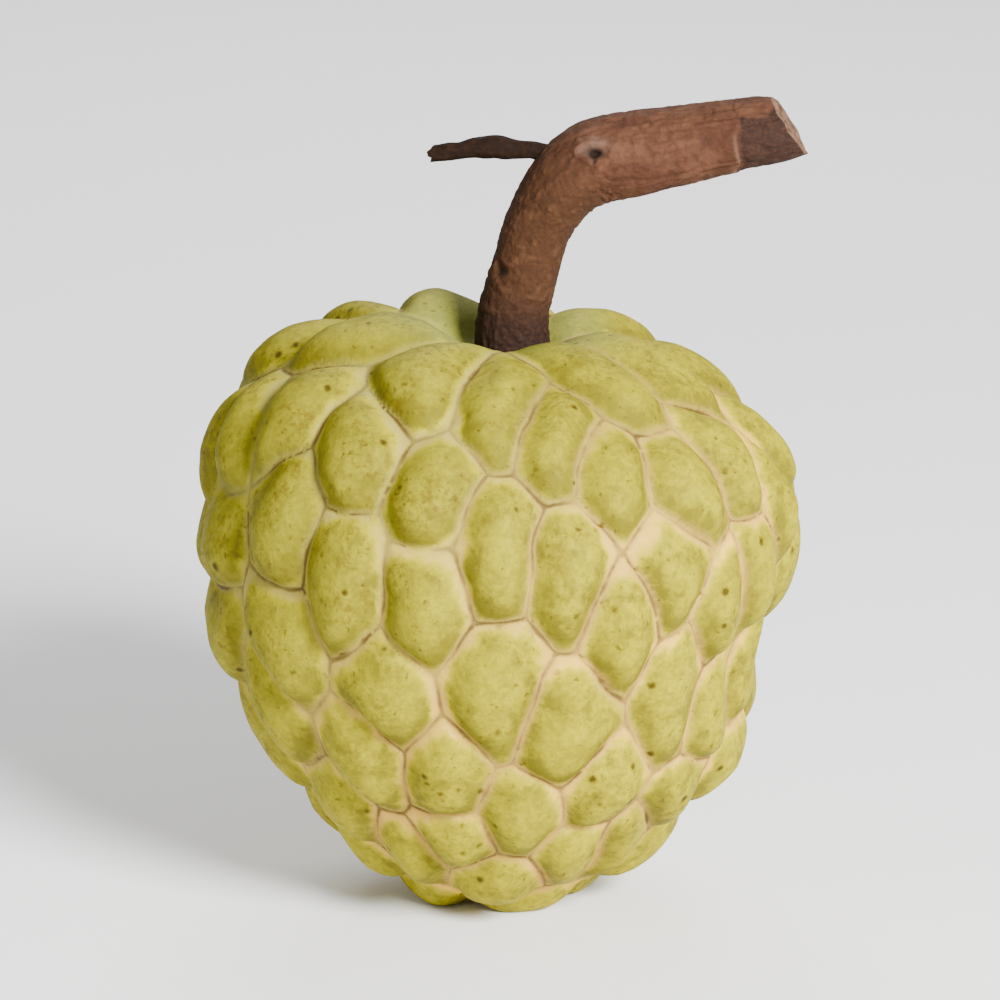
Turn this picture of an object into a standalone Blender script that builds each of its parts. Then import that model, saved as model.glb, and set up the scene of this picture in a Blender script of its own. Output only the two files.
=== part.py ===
"""Custard apple (sugar apple): one whole fruit standing on its blossom end, with its cut stalk.

The skin is a turned profile whose surface rises and falls by a formula: every point belongs to
the carpel whose centre is nearest, measured longer down the fruit than across it, and the skin
swells from the groove between two carpels to a blunt crown. The stalk is a tube of changing
thickness along a bent path, with a thin dry twig fused to its bend.

Units are metres, +Z is up, +X is the viewer's right and the viewer looks along +Y. The origin is
the centre of the flat spot that the fruit stands on.
"""

import bpy
import numpy as np

# Driving dimensions of the body.
BODY_RADIUS = 0.0386
BODY_HEIGHT = 0.0772
SHOULDER_SLOPE = 0.09
SHOULDER_FROM = 0.045
SHOULDER_SPAN = 0.025

# Swellings of one side, hollows below zero: the side (right 1, left -1), amount, height and span.
SIDE_SWELLS = (
    (1, -0.0024, 0.0340, 0.0080),
    (1, 0.0016, 0.0235, 0.0065),
    (1, 0.0008, 0.0560, 0.0090),
    (-1, 0.0017, 0.0380, 0.0130),
    (-1, -0.0009, 0.0150, 0.0080),
)

# Profile of the body from the stem's hollow to the blossom end, as shares of radius and height.
PROFILE = (
    (0.0, 0.938),
    (0.13, 0.950),
    (0.22, 0.984),
    (0.33, 1.000),
    (0.46, 0.992),
    (0.65, 0.955),
    (0.84, 0.886),
    (0.965, 0.787),
    (1.0, 0.660),
    (0.965, 0.505),
    (0.865, 0.350),
    (0.715, 0.200),
    (0.49, 0.074),
    (0.26, 0.006),
    (0.0, -0.005),
)

# Carpels that face the viewer, file by file: the file's bearing in degrees, 0 towards the viewer
# and right positive, then how far down the skin from the stem's axis each carpel's centre lies.
FILES_IN_VIEW = (
    (-72, (0.020, 0.043, 0.056, 0.067)),
    (-57, (0.037, 0.077)),
    (-48, (0.050, 0.065, 0.092)),
    (-32, (0.039, 0.055, 0.082, 0.098)),
    (-23, (0.026, 0.071)),
    (-14, (0.043, 0.056, 0.083, 0.095)),
    (-1, (0.028, 0.049, 0.069, 0.105)),
    (6, (0.090,)),
    (14, (0.033, 0.052, 0.075)),
    (25, (0.039, 0.060, 0.087, 0.098)),
    (35, (0.053,)),
    (42, (0.023, 0.041, 0.072, 0.097)),
    (52, (0.062, 0.090)),
    (62, (0.039, 0.058)),
    (73, (0.024, 0.047, 0.075, 0.086)),
)
BAREST = 1.38
FIRST_RING = 0.018
CARPEL_HALF_WIDTH = 0.0068
CARPEL_LENGTH_RATIO = 1.5
CARPEL_TIP_TAPER = 0.72
CARPEL_DEPTH_SCALE = 0.007

# Relief of the skin.
CROWN_HEIGHT = 0.0029
DOME_SHARE = 0.35
DOME_WIDTH = 0.0045
END_CALM = 0.25
END_SPAN = 0.09
CUT_SHARE = 0.6
LIP_WIDTH = 0.0014
SHELF_WIDTH = 0.0030
CORNER_ROUNDING = 0.0014

# Stalk, socket and twig.
SOCKET_CENTRE = 0.0013
SOCKET_RADIUS = 0.0050
SOCKET_DEPTH = 0.0060
GAP = 0.0003
STALK_PATH = (
    (0.0013, 0.0, 0.0667),
    (0.0014, 0.0, 0.0735),
    (0.0018, 0.0, 0.0785),
    (0.0034, 0.0, 0.0845),
    (0.0049, 0.0, 0.0899),
    (0.0078, 0.0, 0.0950),
    (0.0122, 0.0, 0.0980),
    (0.0179, -0.0003, 0.0992),
    (0.0273, -0.0008, 0.1011),
    (0.0343, -0.0012, 0.1024),
    (0.0368, -0.0014, 0.1029),
)
STALK_RADIUS = (
    0.0047, 0.0047, 0.0046, 0.0044, 0.0044, 0.0049, 0.0055, 0.0055, 0.0048, 0.0045, 0.0041,
)
CUT_SLANT = -0.38
TWIG_PATH = (
    (0.0090, 0.0000, 0.0985),
    (0.0050, 0.0008, 0.0993),
    (0.0015, 0.0015, 0.0994),
    (-0.0013, 0.0020, 0.0996),
    (-0.0050, 0.0027, 0.0990),
    (-0.0088, 0.0034, 0.0984),
)
TWIG_RADIUS = (0.0014, 0.0012, 0.0013, 0.0015, 0.0012, 0.0011)

# Fineness of the meshes.
SKIN_COLUMNS = 240
SKIN_ROWS = 116
FRUIT_TRIANGLES = 9200
STALK_SIDES = 28
STALK_RINGS = 40
TWIG_SIDES = 12
TWIG_RINGS = 14


def smooth_curve(points, count):
    """Points evenly spaced along a Catmull-Rom curve through the given ones."""
    points = np.asarray(points, float)
    ends = np.vstack([2 * points[0] - points[1], points, 2 * points[-1] - points[-2]])
    t = np.linspace(0.0, 1.0, 40, endpoint=False)[:, None]
    spans = [
        0.5 * (2 * b + (c - a) * t + (2 * a - 5 * b + 4 * c - d) * t**2
               + (3 * b - a - 3 * c + d) * t**3)
        for a, b, c, d in zip(ends[:-3], ends[1:-2], ends[2:-1], ends[3:])
    ]
    fine = np.vstack(spans + [points[-1:]])
    arc = np.concatenate([[0.0], np.cumsum(np.linalg.norm(np.diff(fine, axis=0), axis=1))])
    even = np.linspace(0.0, arc[-1], count)
    return np.stack([np.interp(even, arc, fine[:, i]) for i in range(fine.shape[1])], axis=1), even


def smoothstep(value):
    value = np.clip(value, 0.0, 1.0)
    return value * value * (3.0 - 2.0 * value)


class Body:
    """The fruit's body before its relief: a turned profile, lopsided at its shoulder and sides."""

    def __init__(self):
        turned = np.asarray(PROFILE) * (BODY_RADIUS, BODY_HEIGHT)
        self.curve, self.arc = smooth_curve(turned, 1200)
        self.length = self.arc[-1]

    def at(self, bearing, arc):
        """Points at a bearing in radians and a distance down the skin."""
        radius = np.interp(arc, self.arc, self.curve[:, 0])
        height = np.interp(arc, self.arc, self.curve[:, 1])
        x = radius * np.sin(bearing)
        y = -radius * np.cos(bearing)
        swell = sum(
            amount * np.exp(-(((height - middle) / span) ** 2)) * np.clip(side * np.sin(bearing), 0, 1)
            for side, amount, middle, span in SIDE_SWELLS
        )
        spread = 1.0 + swell / np.maximum(radius, 0.001)
        lean = SHOULDER_SLOPE * smoothstep((height - SHOULDER_FROM) / SHOULDER_SPAN)
        return np.stack([x * spread, y * spread, height - lean * x], axis=-1)

    def frame(self, bearing, arc):
        """Unit vectors across, down and out of the skin."""
        step = 1e-4
        down = self.at(bearing, np.minimum(arc + step, self.length)) - self.at(bearing, arc - step)
        across = np.stack([np.cos(bearing), np.sin(bearing), np.zeros_like(bearing)], axis=-1)
        down /= np.linalg.norm(down, axis=-1, keepdims=True)
        out = np.cross(down, across)
        out /= np.linalg.norm(out, axis=-1, keepdims=True)
        return across, np.cross(across, out), out


def length_ratio(body, arc):
    """How much longer than wide a carpel is: most at the shoulder, round at the blossom end."""
    share = arc / body.length
    return 1.0 + (CARPEL_LENGTH_RATIO - 1.0) * smoothstep((0.98 - share) / 0.40)


class Carpels:
    """Centres of the carpels: those in view as they are seen, the rest where the skin is barest."""

    def __init__(self, body):
        self.body = body
        seen = [(np.radians(file), arc) for file, arcs in FILES_IN_VIEW for arc in arcs]
        bearing, arc = np.meshgrid(np.radians(np.arange(-180, 180, 4)), np.linspace(FIRST_RING, body.length, 80))
        samples = body.at(bearing.ravel(), arc.ravel())
        self.set_centres(*np.array(seen).T)
        nearness = np.sqrt(self.measure(samples)[0].min(axis=1))
        while nearness.max() > BAREST:
            barest = nearness.argmax()
            seen.append((bearing.ravel()[barest], arc.ravel()[barest]))
            self.set_centres(*np.array(seen[-1:]).T)
            nearness = np.minimum(nearness, np.sqrt(self.measure(samples)[0][:, 0]))
        self.set_centres(*np.array(seen).T)

    def set_centres(self, bearing, arc):
        self.arc = arc
        self.centre = self.body.at(bearing, arc)
        self.across, self.down, self.out = self.body.frame(bearing, arc)
        self.length = CARPEL_HALF_WIDTH * length_ratio(self.body, arc)

    def measure(self, points):
        """Squared distance to every carpel in its own widths and lengths, and half its gradient."""
        offset = points[:, None, :] - self.centre
        x, y, z = (np.einsum("pkc,kc->pk", offset, axis) for axis in (self.across, self.down, self.out))
        tip = smoothstep(0.5 + 0.5 * y / self.length)
        width = CARPEL_HALF_WIDTH * (1.0 + (CARPEL_TIP_TAPER - 1.0) * (tip - 0.5))
        gradient = (
            (x / width**2)[..., None] * self.across
            + (y / self.length**2)[..., None] * self.down
            + (z / CARPEL_DEPTH_SCALE**2)[..., None] * self.out
        )
        return (x / width) ** 2 + (y / self.length) ** 2 + (z / CARPEL_DEPTH_SCALE) ** 2, gradient

    def groove(self, points, down):
        """Distance to the nearest groove, less at corners, and how far the way to it points down."""
        distance, gradient = self.measure(points)
        order = np.argpartition(distance, 6, axis=1)[:, :7]
        near = np.take_along_axis(distance, order, axis=1)
        rank = near.argsort(axis=1)
        order = np.take_along_axis(order, rank, axis=1)
        near = np.take_along_axis(near, rank, axis=1)
        slope = np.take_along_axis(gradient, order[..., None], axis=1)
        difference = slope[:, 1:] - slope[:, :1]
        steepness = 2.0 * np.linalg.norm(difference, axis=-1)
        reach = (near[:, 1:] - near[:, :1]) / steepness
        way = -2.0 * difference / steepness[..., None]
        share = np.exp(-(reach - reach.min(axis=1, keepdims=True)) / CORNER_ROUNDING)
        total = share.sum(axis=1)
        rounded = reach.min(axis=1) - CORNER_ROUNDING * np.log(total)
        way = (way * share[..., None]).sum(axis=1) / total[:, None]
        return np.maximum(rounded, 0.0), (way * down).sum(axis=1)


def skin_height(body, arc, reach, downward):
    """Height of the skin over the body: a steep lip at a carpel's lower end and a gentle upper end,
    with a low dome on top."""
    width = LIP_WIDTH + (SHELF_WIDTH - LIP_WIDTH) * smoothstep(0.5 - 0.6 * downward)
    edge = 1.0 - np.exp(-((reach / width) ** 1.25))
    dome = 1.0 - np.exp(-((reach / DOME_WIDTH) ** 2))
    swell = edge + (dome - edge) * DOME_SHARE
    share = arc / body.length
    strength = 0.45 + 0.55 * smoothstep((share - 0.05) / 0.13) * smoothstep((1.02 - share) / 0.13)
    strength *= END_CALM + (1.0 - END_CALM) * smoothstep((1.0 - share) / END_SPAN)
    return CROWN_HEIGHT * strength * (swell - CUT_SHARE)


def new_object(name, points, faces, material):
    mesh = bpy.data.meshes.new(name)
    mesh.from_pydata(points.tolist(), [], faces)
    mesh.materials.append(material)
    mesh.shade_smooth()
    obj = bpy.data.objects.new(name, mesh)
    bpy.context.scene.collection.objects.link(obj)
    return obj


def new_material(name, colour, roughness):
    material = bpy.data.materials.new(name)
    material.use_nodes = True
    shader = material.node_tree.nodes["Principled BSDF"]
    shader.inputs["Base Color"].default_value = (*colour, 1.0)
    shader.inputs["Roughness"].default_value = roughness
    material.diffuse_color = (*colour, 1.0)
    return material


def closed_rings(rings, first, last):
    """A closed surface through rings of points, fanned to a first and a last point."""
    count, sides = rings.shape[:2]
    points = np.vstack([rings.reshape(-1, 3), first, last])
    start, end = count * sides, count * sides + 1
    index = np.arange(count * sides).reshape(count, sides)
    after = np.roll(index, -1, axis=1)
    quads = np.stack([index[:-1], index[1:], after[1:], after[:-1]], axis=-1).reshape(-1, 4)
    caps = [(start, a, b) for a, b in zip(index[0], after[0])]
    caps += [(end, b, a) for a, b in zip(index[-1], after[-1])]
    return points, quads.tolist() + caps


def make_fruit(material):
    """Skin rings from the socket's rim to the blossom end, over the socket's floor and wall."""
    body = Body()
    carpels = Carpels(body)
    first_arc = np.interp(SOCKET_RADIUS + 0.0022, body.curve[:200, 0], body.arc[:200])
    bearing, arc = np.meshgrid(
        np.linspace(-np.pi, np.pi, SKIN_COLUMNS, endpoint=False),
        np.linspace(first_arc, body.length - 0.0005, SKIN_ROWS),
    )
    bearing, arc = bearing.ravel(), arc.ravel()
    base = body.at(bearing, arc)
    _, down, out = body.frame(bearing, arc)
    reach, downward = carpels.groove(base, down)
    skin = base + out * skin_height(body, arc, reach, downward)[:, None]
    skin = skin.reshape(SKIN_ROWS, SKIN_COLUMNS, 3)

    turn = np.linspace(-np.pi, np.pi, SKIN_COLUMNS, endpoint=False)
    circle = np.stack([np.sin(turn), -np.cos(turn), 0 * turn], axis=1) * SOCKET_RADIUS
    floor_height = STALK_PATH[0][2] - GAP
    floor = circle + (SOCKET_CENTRE, 0.0, floor_height)
    rim = circle + (SOCKET_CENTRE, 0.0, floor_height + SOCKET_DEPTH)
    rings = np.concatenate([[floor, rim], skin])
    points, faces = closed_rings(rings, (SOCKET_CENTRE, 0.0, floor_height), (0.0, 0.0, skin[-1, :, 2].mean()))
    fruit = new_object("fruit", points, faces, material)
    reduce = fruit.modifiers.new("Fewer triangles", "DECIMATE")
    reduce.ratio = FRUIT_TRIANGLES / (2.0 * SKIN_COLUMNS * (SKIN_ROWS + 2))

    bpy.ops.mesh.primitive_cube_add(size=2.0 * BODY_RADIUS, location=(0.0, 0.0, -BODY_RADIUS))
    ground = bpy.context.object
    ground.name = "ground_cutter"
    ground.hide_render = True
    ground.display_type = "WIRE"
    flatten = fruit.modifiers.new("Flat resting spot", "BOOLEAN")
    flatten.operation = "DIFFERENCE"
    flatten.object = ground
    return fruit


def tube(path, radii, sides, rings, slant):
    """Rings of a tube along a bent path, the last one leaning as a slanting cut does."""
    line, _ = smooth_curve(np.hstack([path, np.asarray(radii)[:, None]]), rings)
    line, radius = line[:, :3], line[:, 3]
    along = np.gradient(line, axis=0)
    along /= np.linalg.norm(along, axis=1, keepdims=True)
    side = np.cross(along, (0.0, 1.0, 0.0))
    side /= np.linalg.norm(side, axis=1, keepdims=True)
    other = np.cross(along, side)
    turn = np.linspace(0.0, 2.0 * np.pi, sides, endpoint=False)
    spread = side[:, None] * np.cos(turn)[:, None] + other[:, None] * np.sin(turn)[:, None]
    points = line[:, None] + spread * radius[:, None, None]
    lean = np.linspace(-2.0, 1.0, rings).clip(0.0, 1.0) ** 3
    shift = slant * lean[:, None] * (spread * side[:, None]).sum(axis=2) * radius[:, None]
    return points + along[:, None] * shift[..., None], line


def make_stalk(material):
    """The stalk with its side twig fused to the bend."""
    rings, line = tube(STALK_PATH, STALK_RADIUS, STALK_SIDES, STALK_RINGS, CUT_SLANT)
    points, faces = closed_rings(rings, line[0], line[-1])
    stalk = new_object("stalk", points, faces, material)
    rings, line = tube(TWIG_PATH, TWIG_RADIUS, TWIG_SIDES, TWIG_RINGS, 0.0)
    points, faces = closed_rings(rings, line[0], line[-1])
    twig = new_object("twig_to_fuse", points, faces, material)
    twig.hide_render = True
    twig.display_type = "WIRE"
    fuse = stalk.modifiers.new("Fuse twig", "BOOLEAN")
    fuse.operation = "UNION"
    fuse.object = twig
    return stalk


def main():
    for obj in list(bpy.data.objects):
        bpy.data.objects.remove(obj, do_unlink=True)
    make_fruit(new_material("custard_apple_skin", (0.46, 0.46, 0.13), 0.6))
    make_stalk(new_material("custard_apple_bark", (0.18, 0.07, 0.045), 0.85))


main()
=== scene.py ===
"""Custard apple: the looks of one whole fruit, its bent stalk and the dry twig on it.

The skin is one closed surface over bearing and distance down the fruit. Every point belongs to
the carpel whose centre is nearest, counted in that carpel's widths and lengths, and the height
over the body is a formula of how far the nearest groove is. The stalk and the twig are tubes of
changing thickness along bent paths, with bark worked out the same way. Sizes are in metres, +Z is
up, and the viewer looks along +Y.
"""

import math

import bpy
import numpy as np
from bpy.props import FloatProperty, FloatVectorProperty, IntProperty, PointerProperty
from mathutils import Color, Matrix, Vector


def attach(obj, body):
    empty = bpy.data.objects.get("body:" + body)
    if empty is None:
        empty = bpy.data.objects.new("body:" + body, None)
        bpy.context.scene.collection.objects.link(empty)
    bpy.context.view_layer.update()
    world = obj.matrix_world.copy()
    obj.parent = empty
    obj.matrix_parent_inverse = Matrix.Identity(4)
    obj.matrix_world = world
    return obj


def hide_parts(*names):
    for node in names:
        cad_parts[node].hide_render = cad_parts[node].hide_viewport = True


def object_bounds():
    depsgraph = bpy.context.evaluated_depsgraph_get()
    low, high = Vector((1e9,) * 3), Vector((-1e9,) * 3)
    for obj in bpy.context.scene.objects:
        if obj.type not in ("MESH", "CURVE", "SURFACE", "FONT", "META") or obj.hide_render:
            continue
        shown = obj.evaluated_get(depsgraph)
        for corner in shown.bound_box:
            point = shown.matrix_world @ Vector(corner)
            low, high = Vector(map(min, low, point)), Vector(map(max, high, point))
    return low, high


bl_info = {
    "name": "Custard Apple",
    "version": (1, 0, 0),
    "blender": (4, 5, 0),
    "location": "View3D > Sidebar > Custard Apple",
    "description": "Builds a whole custard apple with its stalk, a pale floor and soft light",
    "category": "Object",
}

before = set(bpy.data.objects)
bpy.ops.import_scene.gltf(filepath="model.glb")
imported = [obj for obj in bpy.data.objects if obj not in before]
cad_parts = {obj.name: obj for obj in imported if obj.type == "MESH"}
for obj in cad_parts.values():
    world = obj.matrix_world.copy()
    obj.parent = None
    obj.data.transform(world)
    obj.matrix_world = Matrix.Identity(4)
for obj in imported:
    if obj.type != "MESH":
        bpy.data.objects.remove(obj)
CAD_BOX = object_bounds()

MM = 0.001

# The body: the turned profile's size and its sloping shoulder.
BODY_RADIUS = 0.0386
BODY_HEIGHT = 0.0772
SHOULDER_SLOPE = 0.09
SHOULDER_FROM = 0.045
SHOULDER_SPAN = 0.025
PROFILE_POINTS = 1200
CURVE_STEPS = 40

# Swellings of one side, hollows below zero: the side (right 1, left -1), amount, height and span.
SIDE_SWELLS = (
    (1, -0.0024, 0.0340, 0.0080),
    (1, 0.0016, 0.0235, 0.0065),
    (1, 0.0008, 0.0560, 0.0090),
    (-1, 0.0017, 0.0380, 0.0130),
    (-1, -0.0009, 0.0150, 0.0080),
)

# Profile from the stem's hollow to the blossom end, as shares of radius and height.
PROFILE = (
    (0.0, 0.938),
    (0.13, 0.950),
    (0.22, 0.984),
    (0.33, 1.000),
    (0.46, 0.992),
    (0.65, 0.955),
    (0.84, 0.886),
    (0.965, 0.787),
    (1.0, 0.660),
    (0.965, 0.505),
    (0.865, 0.350),
    (0.715, 0.200),
    (0.49, 0.074),
    (0.26, 0.006),
    (0.0, -0.005),
)

# Carpels that face the viewer, file by file: the file's bearing in degrees, 0 towards the viewer
# and right positive, then how far down the skin from the stem's axis each carpel's centre lies.
FILES_IN_VIEW = (
    (-72, (0.020, 0.043, 0.056, 0.067)),
    (-57, (0.037, 0.077)),
    (-48, (0.050, 0.065, 0.092)),
    (-32, (0.039, 0.055, 0.082, 0.098)),
    (-23, (0.026, 0.071)),
    (-14, (0.043, 0.056, 0.083, 0.095)),
    (-1, (0.028, 0.049, 0.069, 0.105)),
    (6, (0.090,)),
    (14, (0.033, 0.052, 0.075)),
    (25, (0.039, 0.060, 0.087, 0.098)),
    (35, (0.053,)),
    (42, (0.023, 0.041, 0.072, 0.097)),
    (52, (0.062, 0.090)),
    (62, (0.039, 0.058)),
    (73, (0.024, 0.047, 0.075, 0.086)),
)

# The other carpels: one is added where the skin is barest, counted in carpels, until no point of a
# grid of bearings and rows is barer than this.
BAREST = 1.38
FIRST_RING = 0.018
GRID_DEGREES = 4
GRID_ROWS = 80

# A carpel's size, and where along the skin, as a share, the carpels turn from long to round.
CARPEL_HALF_WIDTH = 0.0068
CARPEL_LENGTH_RATIO = 1.5
CARPEL_TIP_TAPER = 0.72
CARPEL_DEPTH_SCALE = 0.007
ROUND_BY = 0.98
ROUND_SPAN = 0.40
NEIGHBOURS = 6
CORNER_ROUNDING = 0.0014

# The swell of a carpel from groove to crown, and how it calms towards the two ends of the fruit.
LIP_WIDTH = 0.0014
SHELF_WIDTH = 0.0030
CUT_SHARE = 0.6
DOME_SHARE = 0.35
DOME_WIDTH = 0.0045
LEAST_RELIEF = 0.45
RELIEF_FROM = 0.05
RELIEF_UNTIL = 1.02
RELIEF_SPAN = 0.13
END_CALM = 0.25
END_SPAN = 0.09

# The green of a crown starts this far from the groove at its lower lip and its upper shelf.
LIP_MARGIN = -0.0010
SHELF_MARGIN = -0.0001

# The seam at the bottom of a groove, and how much and over what length the grooves wander.
SEAM_WIDTH = 0.00025
SEAM_CROWN = 0.7
CREASE_WIDTH = 0.0005
GROOVE_WANDER = 0.0006
WANDER_SIZE = 4.5 * MM

# Where the skin's colours change: the bloom in the hollow, by distance down the skin, the paler
# foot, by height, and the deeper green of the upper left, by both ways across the view.
HOLLOW_WITHIN = 0.021
HOLLOW_SPAN = 0.013
LOW_UNDER = 0.050
LOW_SPAN = 0.040
UPPER_LEFT_SHARE = 0.35
UPPER_LEFT_HEIGHT = 0.045
UPPER_LEFT_SPAN = 0.080

# The skin's grid, and how near to its two ends it comes.
SKIN_COLUMNS = 440
SKIN_ROWS = 224
END_GAP = 0.0004

# The stalk: its path, thickness, slanting cut, scars and the places where its bark changes.
STALK_PATH = (
    (0.0013, 0.0, 0.0667),
    (0.0014, 0.0, 0.0735),
    (0.0018, 0.0, 0.0785),
    (0.0034, 0.0, 0.0845),
    (0.0049, 0.0, 0.0899),
    (0.0078, 0.0, 0.0950),
    (0.0122, 0.0, 0.0980),
    (0.0179, -0.0003, 0.0992),
    (0.0273, -0.0008, 0.1011),
    (0.0343, -0.0012, 0.1024),
    (0.0368, -0.0014, 0.1029),
)
STALK_RADIUS = (
    0.0047, 0.0047, 0.0046, 0.0044, 0.0044, 0.0049, 0.0055, 0.0055, 0.0048, 0.0045, 0.0041,
)
CUT_SLANT = -0.38
BUD_SCAR = (0.0120, -0.0051, 0.1002)
LEAF_SCAR = (0.0003, -0.0031, 0.0844)
CRACK_AT = 0.0303
CRACK_BEYOND = 0.02
BRANCH_FROM = 0.027
BRANCH_SPAN = 0.012
FOOT_TO = 0.017
FOOT_SPAN = 0.009
STALK_SIDES = 200
STALK_RINGS = 420
CUT_RINGS = 22

# The dry twig, and the node that swells it.
TWIG_PATH = (
    (0.0090, 0.0000, 0.0985),
    (0.0050, 0.0008, 0.0993),
    (0.0015, 0.0015, 0.0994),
    (-0.0013, 0.0020, 0.0996),
    (-0.0050, 0.0027, 0.0990),
    (-0.0088, 0.0034, 0.0984),
)
TWIG_RADIUS = (0.0014, 0.0012, 0.0013, 0.0015, 0.0012, 0.0011)
NODE_AT = 0.0085
NODE_SPAN = 0.0011
TWIG_SIDES = 64
TWIG_RINGS = 260

# The table of random values behind the lumps, and the primes that scatter it.
LUMP_VALUES = 4096
LUMP_PRIMES = (73856093, 19349663, 83492791)

# The stage. Each soft light has a place, a diameter and a share of the key light's power.
FLOOR_REACH = 6.0
WORLD_STRENGTH = 0.33
SOFT_LIGHTS = {
    "key_light": ((0.46, -0.72, 0.52), 0.34, 1.0),
    "fill_light": ((-0.70, -0.50, 0.35), 0.60, 0.04),
    "back_light": ((0.00, 0.75, 0.75), 0.70, 0.22),
}


def smoothstep(value):
    """The value clipped to 0 and 1, and eased at both."""
    value = np.clip(value, 0.0, 1.0)
    return value * value * (3.0 - 2.0 * value)


def lumps(points, size, seed):
    """Smooth random lumps from -1 to 1: seeded values at the corners of cubes of that size, eased
    between."""
    values = np.random.default_rng(seed).uniform(-1.0, 1.0, LUMP_VALUES)
    lattice = np.asarray(points) / size
    corner = np.floor(lattice).astype(np.int64)
    ease = smoothstep(lattice - corner)
    total = np.zeros(lattice.shape[:-1])
    for step in np.ndindex(2, 2, 2):
        key = np.bitwise_xor.reduce((corner + step) * LUMP_PRIMES, axis=-1)
        share = np.where(step, ease, 1.0 - ease).prod(axis=-1)
        total += share * values[key % LUMP_VALUES]
    return total


def smooth_curve(points, count):
    """Points evenly spaced along a Catmull-Rom curve through the given ones, and their distances."""
    points = np.asarray(points, float)
    ends = np.vstack([2 * points[0] - points[1], points, 2 * points[-1] - points[-2]])
    t = np.linspace(0.0, 1.0, CURVE_STEPS, endpoint=False)[:, None]
    spans = [
        0.5 * (2 * b + (c - a) * t + (2 * a - 5 * b + 4 * c - d) * t**2
               + (3 * b - a - 3 * c + d) * t**3)
        for a, b, c, d in zip(ends[:-3], ends[1:-2], ends[2:-1], ends[3:])
    ]
    fine = np.vstack(spans + [points[-1:]])
    arc = np.concatenate([[0.0], np.cumsum(np.linalg.norm(np.diff(fine, axis=0), axis=1))])
    even = np.linspace(0.0, arc[-1], count)
    return np.stack([np.interp(even, arc, fine[:, i]) for i in range(fine.shape[1])], axis=1), even


class Body:
    """The fruit's body before its relief: a turned profile, lopsided at its shoulder and sides."""

    def __init__(self):
        turned = np.asarray(PROFILE) * (BODY_RADIUS, BODY_HEIGHT)
        self.curve, self.arc = smooth_curve(turned, PROFILE_POINTS)
        self.length = self.arc[-1]

    def at(self, bearing, arc):
        """Points at a bearing in radians and a distance down the skin."""
        radius = np.interp(arc, self.arc, self.curve[:, 0])
        height = np.interp(arc, self.arc, self.curve[:, 1])
        x = radius * np.sin(bearing)
        y = -radius * np.cos(bearing)
        swell = sum(
            amount * np.exp(-(((height - middle) / span) ** 2)) * np.clip(side * np.sin(bearing), 0, 1)
            for side, amount, middle, span in SIDE_SWELLS
        )
        spread = 1.0 + swell / np.maximum(radius, 0.001)
        lean = SHOULDER_SLOPE * smoothstep((height - SHOULDER_FROM) / SHOULDER_SPAN)
        return np.stack([x * spread, y * spread, height - lean * x], axis=-1)

    def directions(self, bearing, arc):
        """Unit vectors across, down and out of the skin."""
        step = 1e-4
        down = self.at(bearing, np.minimum(arc + step, self.length)) - self.at(bearing, arc - step)
        across = np.stack([np.cos(bearing), np.sin(bearing), np.zeros_like(bearing)], axis=-1)
        down /= np.linalg.norm(down, axis=-1, keepdims=True)
        out = np.cross(down, across)
        out /= np.linalg.norm(out, axis=-1, keepdims=True)
        return across, np.cross(across, out), out


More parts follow.
